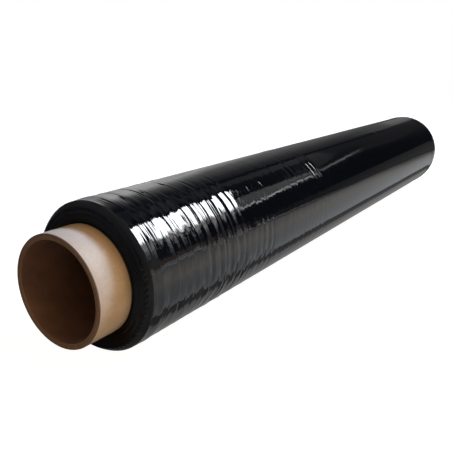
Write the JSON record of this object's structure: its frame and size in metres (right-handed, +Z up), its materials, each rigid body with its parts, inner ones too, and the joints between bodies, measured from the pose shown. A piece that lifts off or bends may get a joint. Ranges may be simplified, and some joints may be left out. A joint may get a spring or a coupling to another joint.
{
  "type": "stretch wrap roll",
  "caption": "Hand roll of glossy black stretch film wound on a brown board core that stands out at both ends, lying on its side on a small flat.",
  "frame": {"origin": "the middle of the small flat that the roll lies on, under the middle of its length", "axes": "+Y along the roll's axis towards its far end, +Z up, +X to the right as seen from the near end"},
  "size_m": [0.0776, 0.54, 0.0767],
  "materials": {
    "core_board": "smooth uncoated kraft board with a slight sheen",
    "black_film": "high gloss, puckered in hoops near one end"
  },
  "bodies": {
    "root": {"core_tube": "core_board", "film_roll": "black_film"}
  },
  "joints": []
}
